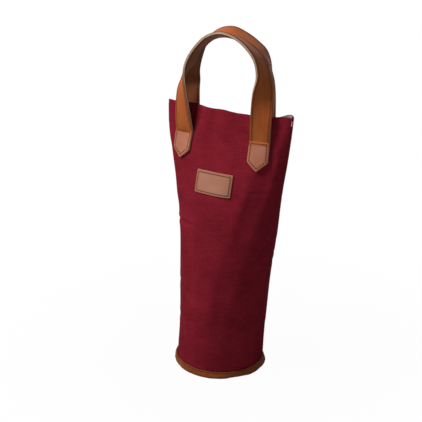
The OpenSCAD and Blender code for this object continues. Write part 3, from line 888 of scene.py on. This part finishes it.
base = {"x": -12.0, "radius": 60.4, "leather": 1.4, "around": 420, "low": 0.13, "pinch": 1.1,
        "ripple": 0.55, "grain": 0.4, "lap": 0.9, "lapAt": 118, "stitch": {"pitch": 3.1, "length": 2.3, "radius": 0.38},
        # how far the foot of the binding spreads, by direction in degrees
        "footAt": (0, 12, 20, 30, 45, 60, 90, 120, 180, 240, 270, 300, 310, 320, 330, 340, 349, 360),
        "footOut": (1.0, 1.4, 0.9, -1.4, -2.2, -1.8, -0.6, 0.3, 0.2, 0, 0.4, 0.3, -0.3, -1.5, -0.3, 1.9, 1.8, 1.0)}


def pinchAt(degrees):
    # how far the binding is drawn in tight against the canvas, at the right
    return hump((degrees - 42 + 180) % 360 - 180, 0, 24)


def bindingOutline():
    # the cross-section, from the inner foot round the outside and back, rounded through its corners
    r, lower = base["radius"], base["leather"]
    inside = r - 2.4
    corners = np.array([
        (inside - lower, 6.2), (inside - lower, 1.0), (inside - lower + 0.9, 0.0), (r + 2.6, 0.0), (r + 3.6, 0.5),
        (r + 3.9, 1.6), (r + 3.6, 3.6), (r + 2.9, 6.0), (r + 2.2, 8.4), (r + 1.9, 10.0), (r + 1.35, 10.5),
        (r + 0.7, 10.2), (r + 0.55, 9.0), (r + 1.1, 6.0), (r + 1.6, 3.0), (r + 0.6, 1.5), (inside + 0.2, 1.4),
        (inside, 2.2), (inside, 6.2), (inside - lower / 2, 6.7)])
    ring = np.vstack([corners[-1:], corners, corners[:2]])
    return np.array([catmull(ring, k / 2) for k in range(2, 2 * len(corners) + 2)])


def bindingPiece():
    outline = bindingOutline()
    turns = np.linspace(0, 2 * math.pi, base["around"], endpoint=False)
    r, z = outline[:, 0][None, :], outline[:, 1][None, :]
    turn = turns[:, None]
    outside = ease(r, base["radius"] + 0.3, base["radius"] + 1.5)
    ripple, grain = np.zeros((2, len(turns), len(outline)))
    for i, t in enumerate(turns):
        c, s = math.cos(t), math.sin(t)
        for j, up in enumerate(outline[:, 1]):
            ripple[i, j] = noise.fractal(Vector((c * 5.2, s * 5.2, up * 0.11)), 0.6, 2.0, 4)
            grain[i, j] = noise.noise(Vector((c * 16, s * 16, up * 0.2)))
    pinched = pinchAt(np.degrees(turn)) * ease(z, 1.5, 6)
    tight = outside * pinched
    uneven = base["ripple"] * ripple + base["grain"] * grain * ease(z, 1.0, 5.0)
    puff = outside * uneven * (1 - 0.7 * tight) - 0.7 * tight
    pulled = -0.35 * outside * hump(z, 8.3, 0.6)
    tall = 0.5 * np.sin(3 * turn + 0.6) + 0.35 * np.sin(7 * turn + 2.0) + 0.3 * np.sin(13 * turn)
    # the ends of the strip overlap at the back
    away = (turn - math.radians(base["lapAt"]) + math.pi) % (2 * math.pi) - math.pi
    lap = base["lap"] * outside * ease(-away, -0.005, 0.005) * ease(away, -0.3, -0.12)
    foot = np.interp(turns, np.radians(base["footAt"]), base["footOut"])[:, None] * outside * (1 - ease(z, 2.5, 8.5))
    radius = r + puff + pulled + lap + foot - base["pinch"] * pinched
    height = (z + tall * ease(z, 4, 10) * 0.8) * (1 - base["low"] * ease(z, 2, 8))
    points = np.stack([base["x"] + radius * np.cos(turn), radius * np.sin(turn), np.maximum(height, 0)], -1)
    faces = quadGrid(*points.shape[:2], wrapRows=True, wrapCols=True)[:, ::-1]
    edge = np.linalg.norm(np.diff(np.vstack([outline, outline[:1]]), axis=0), axis=1)
    along = np.concatenate([[0], np.cumsum(edge)[:-1]])
    place = np.stack(np.broadcast_arrays(turn * 0.062, along[None, :] * mm, 0 * turn), -1)
    piece = makePiece("leather_binding", points, faces.tolist(), [bindingLeather], cloth=place)
    # the stitches run in the groove, at the corner of the outline listed ninth
    groove = 16
    return piece, turns, radius[:, groove], height[:, groove]


binding, turns, grooveRadius, grooveHeight = bindingPiece()
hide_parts("base_binding")
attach(binding, "bag")
line = np.stack([base["x"] + grooveRadius * np.cos(turns), grooveRadius * np.sin(turns), grooveHeight], -1)
out = np.array([(math.cos(t), math.sin(t), 0.25) for t in turns])
line, out = np.vstack([line, line[:1]]), np.vstack([out, out[:1]])
bindingThreads = stitchPiece("binding_stitches", [(line, out, base["stitch"])], brownThread)
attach(bindingThreads, "bag")


def discPiece(name, rings, material, crown, seed):
    # a round layer as a closed lathe of rings (radius, height), with a gentle crown
    around = 120
    rings = np.array(rings)
    turns = np.linspace(0, 2 * math.pi, around, endpoint=False)[:, None]
    r, z = rings[:, 0][None, :], rings[:, 1][None, :]
    swell = [[noise.noise(Vector((math.cos(t) * radius * 0.04, math.sin(t) * radius * 0.04, seed)))
              for radius in rings[:, 0]] for t in turns[:, 0]]
    # the crown is highest in the middle and ends 50 mm out
    height = z + crown * np.clip(1 - (r / 50.0) ** 2, 0, 1) + 0.12 * np.array(swell)
    points = np.stack([base["x"] + r * np.cos(turns), r * np.sin(turns), height], -1)
    faces = quadGrid(*points.shape[:2], wrapRows=True).tolist()
    count = len(rings)
    lowMiddle, highMiddle = around * count, around * count + 1
    flat = np.vstack([points.reshape(-1, 3), points[:, 0].mean(0), points[:, -1].mean(0)])
    for i in range(around):
        j = (i + 1) % around
        faces.append([i * count, j * count, lowMiddle])
        faces.append([j * count + count - 1, i * count + count - 1, highMiddle])
    place = flat * (1, 1, 0) * mm
    return makePiece(name, flat, [f[::-1] for f in faces], [material], cloth=place)


def layerRings(low, edge, high, reach):
    # rings of a disc: out along the lower face, round the edge, and back along the upper face
    steps = np.linspace(2, reach, 12)
    return [(r, low) for r in steps] + edge + [(r, high) for r in steps[::-1]]


far = base["radius"] - 2.0
skirt = [(far - 1.0, 7.2), (far - 1.0, 5.0), (far - 1.0, 2.3), (far - 0.5, 2.0), (far, 2.3), (far, 5.5), (far, 8.0),
         (far - 0.5, 8.8), (far - 1.4, 9.0)]
canvasDisc = discPiece("base_canvas", layerRings(8.0, skirt, 9.0, far - 1.6), facingCloth, -0.5, 1.7)
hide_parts("base_panel")
far = base["radius"] - 3.5
padEdge = [(far - 0.4, 11.9), (far, 13.1), (far - 0.4, 14.2)]
padDisc = discPiece("base_pad", layerRings(11.7, padEdge, 14.5, far - 1.4), paleFoam, 0.0, 4.1)
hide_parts("base_foam")
far = base["radius"] - 6.0
liningDisc = discPiece("base_lining_cloth", layerRings(15.0, [(far, 15.2)], 15.4, far - 0.4), liningSatin, 0.2, 8.3)
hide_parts("base_lining")
for piece in (canvasDisc, padDisc, liningDisc):
    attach(piece, "bag")
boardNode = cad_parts["base_board"]
boardNode.data.materials.clear()
boardNode.data.materials.append(greyBoard)
print("scene: base made")


def wallRun(z, degrees, lift, look):
    # a row of stitches on the canvas, through the given heights and angles
    on = wallPoint(z, degrees, -lift)
    return on, unit(wallPoint(z, degrees, -1.0) - on), look


hem = {"below": 28.0, "lift": 0.05, "stitch": {"pitch": 2.8, "length": 2.0, "radius": 0.24}}
seamRow = {"degrees": (356.6, 183.4), "from": 14, "to": 360, "stitch": {"pitch": 3.0, "length": 2.0, "radius": 0.24}}
tack = {"degrees": 349.0, "from": 354.5, "to": 360.5, "lift": 0.1,
        "stitch": {"pitch": 2.0, "length": 1.8, "radius": 0.8}}
runs = [wallRun(tube["top"] - hem["below"], np.linspace(start, start + 175, 160), hem["lift"], hem["stitch"])
        for start in (182.5, 2.5)]
runs += [wallRun(np.linspace(seamRow["from"], seamRow["to"], 180), degrees, hem["lift"], seamRow["stitch"])
         for degrees in seamRow["degrees"]]
canvasThreads = stitchPiece("canvas_stitches", runs, redThread)
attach(canvasThreads, "bag")
corner = wallRun(np.linspace(tack["from"], tack["to"], 20), tack["degrees"], tack["lift"], tack["stitch"])
tackThreads = stitchPiece("mouth_corner_tack", [corner], pinkThread)
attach(tackThreads, "bag")
print("scene: stitches made")


stageLook = {"floor": (0.5, 0.5, 0.5, 1.0), "white": 1.0, "world": 0.12, "nearShare": 0.97, "reach": 3000}


def floorMaterial():
    # nearly white to the camera, more so away from the object, and still with the object's shadow
    b = Board("paleFloor")
    camera = b.add("ShaderNodeLightPath", out="Is Camera Ray")
    place = b.add("ShaderNodeTexCoord", {}, out="Object")
    far = b.add("ShaderNodeVectorMath", {"operation": "LENGTH"}, {0: place}, "Value")
    soft = b.noise(place, 3.0, 2.0)
    plain = b.add("ShaderNodeBsdfPrincipled", {},
                  {"Base Color": stageLook["floor"], "Roughness": soft * 0.05 + 0.75, "Specular IOR Level": 0.1})
    glow = b.add("ShaderNodeEmission", {}, {"Color": (1, 1, 1, 1), "Strength": stageLook["white"]})
    share = b.ramp(far, (0.12, stageLook["nearShare"]), (0.5, 1.0))
    surface = b.add("ShaderNodeMixShader", {}, {0: camera * share, 1: plain, 2: glow})
    b.add("ShaderNodeOutputMaterial", {}, {"Surface": surface})
    return b.owner


reach = stageLook["reach"]
corners = [(-reach, -reach, 0), (reach, -reach, 0), (reach, reach, 0), (-reach, reach, 0)]
floor = makePiece("floor", corners, [[0, 1, 2, 3]], [floorMaterial()])

# the room is white for the camera and in reflections, and a soft light for all else
world = bpy.data.worlds.new("paleRoom")
bpy.context.scene.world = world
room = Board(world)
rays = {k: room.add("ShaderNodeLightPath", out=ray) for k, ray in enumerate(("Is Camera Ray", "Is Glossy Ray"))}
seen = room.add("ShaderNodeMath", {"operation": "MAXIMUM"}, rays)
soft, bright = (room.add("ShaderNodeBackground", {}, {"Color": (1, 1, 1, 1), "Strength": stageLook[strength]})
                for strength in ("world", "white"))
room.add("ShaderNodeOutputWorld", {}, {"Surface": room.add("ShaderNodeMixShader", {}, {0: seen, 1: soft, 2: bright})})

lamps = {"key": {"at": (-0.78, -0.72, 1.5), "size": 0.45, "power": 30.0},
         "front": {"at": (0.5, -1.6, 0.9), "size": 1.2, "power": 1.5},
         "low": {"at": (1.15, -0.75, 0.14), "size": 0.6, "power": 1.6}}
aim = Vector((-0.01, 0.0, 0.24))
for name, lamp in lamps.items():
    data = bpy.data.lights.new(name + "Light", "AREA")
    data.shape, data.size, data.energy = "SQUARE", lamp["size"], lamp["power"]
    holder = bpy.data.objects.new(name + "Light", data)
    bpy.context.scene.collection.objects.link(holder)
    holder.location = lamp["at"]
    holder.rotation_mode = "QUATERNION"
    holder.rotation_quaternion = (aim - holder.location).to_track_quat("-Z", "Y")

shot = {"from": (0.5896, -1.0005, 0.6759), "to": (-0.0233, -0.0068, 0.2215), "lens": 79.5}
lensData = bpy.data.cameras.new("camera")
lensData.lens, lensData.sensor_width = shot["lens"], 36.0
camera = bpy.data.objects.new("camera", lensData)
bpy.context.scene.collection.objects.link(camera)
camera.location = shot["from"]
camera.rotation_mode = "QUATERNION"
camera.rotation_quaternion = (Vector(shot["to"]) - Vector(shot["from"])).to_track_quat("-Z", "Y")
bpy.context.scene.camera = camera
bpy.context.scene.view_settings.view_transform = "Standard"
print("scene: light and camera set")
